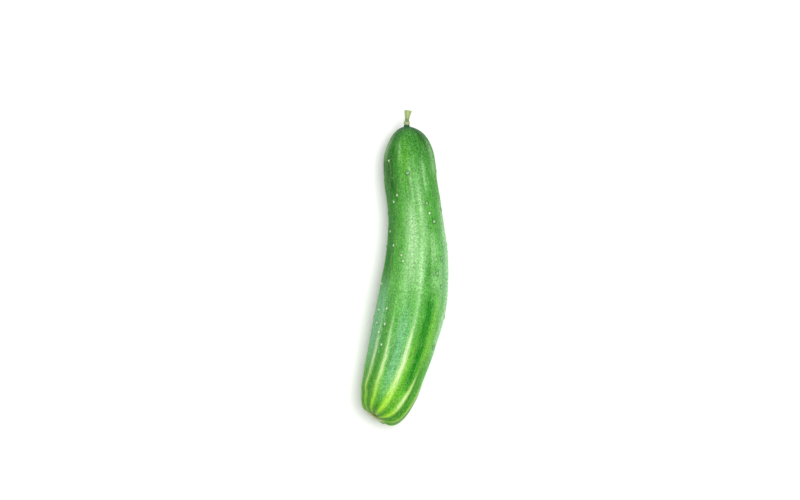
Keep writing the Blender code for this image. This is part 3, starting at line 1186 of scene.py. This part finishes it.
# %% Effect: soft mottling
mottling, w, given, result = new_effect(
    "soft mottling",
    [("Place", VECTOR, None), ("Patch", NUMBER, 10.0)],
    "Mottle",
)
noise = w.node("ShaderNodeTexNoise")
w.feed(noise.inputs["Vector"], given["Place"])
w.feed(noise.inputs["Scale"], w.math("DIVIDE", 1.0, given["Patch"]))
w.feed(noise.inputs["Detail"], 4.0)
w.feed(result[0], w.remap(noise.outputs["Fac"], 0.3, 0.7))
print("effect:", mottling.name)

# %% [markdown]
# The skin is a thin waxy sheet over wet flesh. Its colour starts as one green that yellows down
# the fruit, and each wash is laid over it with its edge broken by streaks, as glazes are laid in
# a painting. A wash that broke nowhere would look like plastic.

# %% Skin: the green and its washes
skin_material, w, shader = new_material("cucumber skin")
place = w.place("grain_place")
line = w.place("line_place")
down = w.read("down")
fine = w.effect(streaks, Place=line, Across=1.5, Along=0.09)
broad = w.effect(streaks, Place=line, Across=0.4, Along=0.022)
cloud = w.effect(mottling, Place=place, Patch=9.0)
blots = w.effect(mottling, Place=place, Patch=2.6)
grain = w.effect(mottling, Place=place, Patch=1.0)
dots = w.effect(flecks, Place=place, Spacing=1.3, Size=0.42)

green = w.ramp(
    w.stirred(down, cloud, 0.08),
    (0.0, (44, 104, 48)),
    (0.08, (60, 132, 48)),
    (0.3, (84, 158, 64)),
    (0.55, (96, 170, 76)),
    (0.8, (90, 166, 64)),
    (0.9, (90, 166, 52)),
    (1.0, (86, 154, 38)),
)

# deep and vivid carry painted shade on the flank away from the light and on the underside, pale a painted
# highlight along the top and painted reflection at the edges, bloom painted reflection along the flanks, each
# laid beside the fruit's own tone
# tone, its colour, how even it is, the streaks that break it
for tone, over, evenness, streak in (
    ("deep_and_painted_shade", (26, 80, 24), 0.8, broad),
    ("lime", (124, 200, 30), 0.7, broad),
    ("vivid_and_painted_shade", (4, 116, 0), 0.8, broad),
    ("pale", (184, 226, 170), 0.5, broad),
    ("bloom_and_painted_reflection", (138, 200, 160), 0.5, fine),
):
    broken = w.plus(evenness, w.times(streak, 1.6 * (1.0 - evenness)))
    green = w.blend(w.times(w.read(tone), broken, clamp=True), green, colour(*over))
    print("laid", tone)

# %% [markdown]
# Then come the smaller things, from large to fine: painted shade in the hollows between ribs, pale
# streaks, blots and grain, the stripes, the warts with a ring of painted shade round their feet
# and pale tips that are partly a painted highlight, and last the two ends. The stripes are
# whitish where they start and yellow-green at the blossom end.

# %% Skin: stripes, warts and grain
# painted shade in the hollows between the ribs
green = w.tint(green, w.read("groove"), 0.25, (46, 118, 36))
green = w.tint(green, w.remap(fine, 0.45, 1.0), 0.24, (150, 208, 116))
green = w.tint(green, blots, 0.16, (40, 118, 36))
green = w.blend(1.0, green, w.remap(grain, 0.0, 1.0, 1.4, 0.56), "MULTIPLY")
green = w.tint(green, dots, 0.16, (172, 216, 142))

stripe_tone = w.ramp(
    down,
    (0.6, (194, 228, 180)),
    (0.78, (222, 240, 188)),
    (0.87, (222, 242, 166)),
    (0.94, (186, 226, 90)),
    (1.0, (160, 214, 56)),
)
stripe_tone = w.blend(w.read("cream"), stripe_tone, colour(218, 240, 176))
frayed = w.plus(w.remap(fine, 0.0, 1.0, 0.5, 1.15), w.times(grain, -0.2))
green = w.blend(w.times(w.read("stripe"), frayed, clamp=True), green, stripe_tone)

# mask, strength, colour
for mask, strength, over in (
    ("wart", 0.4, (104, 166, 78)),
    # a ring of painted shade round the foot of each wart
    ("foot", 0.85, (34, 88, 44)),
    # the pale tip and the bare top of a wart are partly a painted highlight
    ("tip", 1.0, (236, 240, 222)),
    ("bare", 0.7, (178, 208, 170)),
    ("pit", 1.0, (44, 72, 44)),
    ("rim", 0.8, (212, 210, 162)),
    ("scar", 1.0, (50, 86, 24)),
    ("neck", 0.85, (36, 84, 58)),
):
    green = w.tint(green, w.read(mask), strength, over)
w.feed(shader.inputs["Base Color"], green)
print("skin colour:", len(skin_material.node_tree.nodes), "nodes")

# %% [markdown]
# Roughness follows the wax: the bloom is duller than the bare skin. The wet flesh below lets a
# little light through, which is a small subsurface share. The bump holds only what is finer than
# the net: pores and shallow lengthways wrinkles.

# %% Skin: wax, flesh and pores
dull = w.plus(w.times(w.read("bloom_and_painted_reflection"), 0.15), w.times(cloud, 0.08))
w.feed(shader.inputs["Roughness"], w.plus(dull, 0.38))
settle(shader, Specular_IOR_Level=0.04, Coat_Weight=0.04, Coat_Roughness=0.25)
settle(shader, Subsurface_Weight=0.06, Subsurface_Scale=0.002, Subsurface_Radius=(0.6, 1.0, 0.3))

pores = w.effect(flecks, Place=place, Spacing=0.8, Size=0.5)
pitted = w.plus(w.times(pores, -0.35), w.times(fine, 0.5))
w.relief(shader, pitted, 0.00012, 0.4)
fruit_skin.data.materials.append(skin_material)
print("skin material:", len(skin_material.node_tree.nodes), "nodes")

# %% [markdown]
# The stalk is dull and greyish green. It goes from the tan knob through a dark waist to a paler
# upper part, with darker lines between its angles. The cut face shows what a stalk is inside: a
# pale ring of wood, green bundles, and pith that has started to brown.

# %% Stalk
stalk_material, w, shader = new_material("downy stalk")
place = w.place("grain_place")
fibre = w.effect(streaks, Place=place, Across=2.6, Along=0.35)
spots = w.effect(mottling, Place=place, Patch=1.1)
bark = w.ramp(
    w.stirred(w.read("height"), spots, 0.06),
    (0.0, (70, 104, 62)),
    (0.1, (150, 162, 112)),
    (0.18, (158, 164, 118)),
    (0.25, (62, 92, 50)),
    (0.38, (72, 104, 56)),
    (0.52, (138, 162, 98)),
    (1.0, (158, 180, 118)),
)
bark = w.blend(w.remap(w.read("angles"), 0.0, 0.45, 0.5, 0.0), bark, colour(86, 112, 58))
bark = w.tint(bark, fibre, 0.4, (190, 204, 150))
bark = w.blend(w.remap(spots, 0.55, 0.9, 0.0, 0.5), bark, colour(150, 122, 86))

inside = w.ramp(
    w.stirred(w.read("middle"), spots, 0.2),
    (0.0, (112, 96, 60)),
    (0.3, (170, 162, 112)),
    (0.7, (202, 208, 160)),
    (0.93, (188, 200, 140)),
    (1.0, (112, 142, 78)),
)
inside = w.tint(inside, w.read("bundle"), 0.7, (132, 158, 88))
w.feed(shader.inputs["Base Color"], w.blend(w.read("face"), bark, inside))
w.feed(shader.inputs["Roughness"], w.remap(fibre, 0.0, 1.0, 0.55, 0.72))
settle(shader, Specular_IOR_Level=0.3, Subsurface_Weight=0.05, Subsurface_Scale=0.001)
w.relief(shader, w.plus(fibre, w.times(spots, 0.5)), 0.0001, 0.6)
stalk_skin.data.materials.append(stalk_material)
print("stalk material:", len(stalk_material.node_tree.nodes), "nodes")

# %% [markdown]
# Spines, prickles and hairs share one recipe with different colours: greener at the root, paler
# along the shaft, and sometimes tan at the very tip, with a faint mottling and thin lines along
# them. They let light through, so a small subsurface share keeps them from looking like wire.

# %% Spines, prickles and hairs
def bristle_material(name, root, shaft, tip, roughness):
    """Material of a small stiff hair, from its root to its tip."""
    made, w, shader = new_material(name)
    place = w.place("grain_place")
    faint = w.effect(mottling, Place=place, Patch=1.5)
    lines = w.effect(streaks, Place=place, Across=9.0, Along=3.0)
    along = w.stirred(w.read("along"), faint, 0.3)
    tone = w.ramp(along, (0.0, root), (0.3, shaft), (0.75, shaft), (1.0, tip))
    w.feed(shader.inputs["Base Color"], w.tint(tone, lines, 0.2, root))
    w.feed(shader.inputs["Roughness"], w.remap(faint, 0.0, 1.0, roughness - 0.08, roughness + 0.08))
    settle(shader, Subsurface_Weight=0.2, Subsurface_Scale=0.0004)
    return made


for bristles, *recipe in (
    (spines, "spine", (196, 214, 168), (240, 242, 230), (206, 192, 156), 0.35),
    (prickles, "fine prickle", (150, 196, 120), (214, 230, 198), (226, 226, 206), 0.45),
    (stalk_hairs, "stalk down", (176, 190, 146), (222, 226, 208), (230, 226, 212), 0.5),
):
    bristles.data.materials.append(bristle_material(*recipe))
    print("material:", recipe[0])

# %% [markdown]
# Cork is dead, dry and matt. It is tan where it is torn and brown inside, speckled at two sizes,
# and rough enough to catch the light on every crumb.

# %% Corky ring
cork_material, w, shader = new_material("dry cork")
place = w.place("grain_place")
crumbs = w.effect(mottling, Place=place, Patch=0.7)
specks = w.effect(flecks, Place=place, Spacing=0.5, Size=0.5)
tone = w.ramp(
    w.stirred(w.read("raised"), crumbs, 0.5),
    (0.0, (52, 52, 26)),
    (0.45, (104, 100, 56)),
    (1.0, (178, 172, 120)),
)
w.feed(shader.inputs["Base Color"], w.tint(tone, specks, 0.4, (92, 72, 44)))
w.feed(shader.inputs["Roughness"], w.remap(crumbs, 0.0, 1.0, 0.75, 0.95))
settle(shader, Specular_IOR_Level=0.25)
w.relief(shader, crumbs, 0.00025, 0.8)
cork.data.materials.append(cork_material)
print("cork material:", len(cork_material.node_tree.nodes), "nodes")

# %% [markdown]
# A plain pale floor and soft studio light show the fruit without telling a story. The camera looks
# straight down, because the fruit lies with the side to be seen facing up. Its lens is long and
# its distance is worked out from the width that it should take in.

# %% Floor, light and camera
FLOOR_HALF = 3.0
floor_corners = [(-1, -1), (1, -1), (1, 1), (-1, 1)]
floor = new_object("floor", [(x * FLOOR_HALF, y * FLOOR_HALF, 0.0) for x, y in floor_corners], [(0, 1, 2, 3)])
floor_material, w, shader = new_material("pale floor")
settle(shader, Base_Color=(0.92, 0.92, 0.91, 1.0), Roughness=0.9)
floor.data.materials.append(floor_material)


def soft_light(name, place, size, power):
    """Square area light that shines at the middle of the floor."""
    lamp = bpy.data.lights.new(name, "AREA")
    lamp.shape = "SQUARE"
    lamp.size = size
    lamp.energy = power
    made = bpy.data.objects.new(name, lamp)
    made.location = place
    made.rotation_euler = (-Vector(place)).to_track_quat("-Z", "Y").to_euler()
    bpy.context.scene.collection.objects.link(made)


soft_light("overhead light", (0.3, 0.12, 1.5), 1.0, 27.0)
soft_light("fill light", (-0.9, 0.2, 1.1), 1.2, 3.0)

world = bpy.data.worlds.new("studio")
bpy.context.scene.world = world
world.use_nodes = True
settle(world.node_tree.nodes["Background"], Color=(1.0, 1.0, 1.0, 1.0), Strength=0.35)
bpy.context.scene.view_settings.view_transform = "Standard"

VIEW_WIDTH = 0.560
VIEW_CENTRE = (-7.0, -87.5, 0.0)
OUTLINE_AT = 100.0
LENS = 100.0
SENSOR = 36.0
camera_data = bpy.data.cameras.new("camera")
camera_data.lens = LENS
camera_data.sensor_width = SENSOR
camera = bpy.data.objects.new("camera", camera_data)
aim_x, aim_y, _ = (np.array(VIEW_CENTRE) + SHIFT) * MM
outline_height = float(spine_at(np.array(OUTLINE_AT))[2]) * MM
camera.location = (aim_x, aim_y, outline_height + VIEW_WIDTH * LENS / SENSOR)
camera.rotation_euler = (0.0, 0.0, 0.0)
bpy.context.scene.collection.objects.link(camera)
bpy.context.scene.camera = camera
print("camera at", [round(value, 4) for value in camera.location])
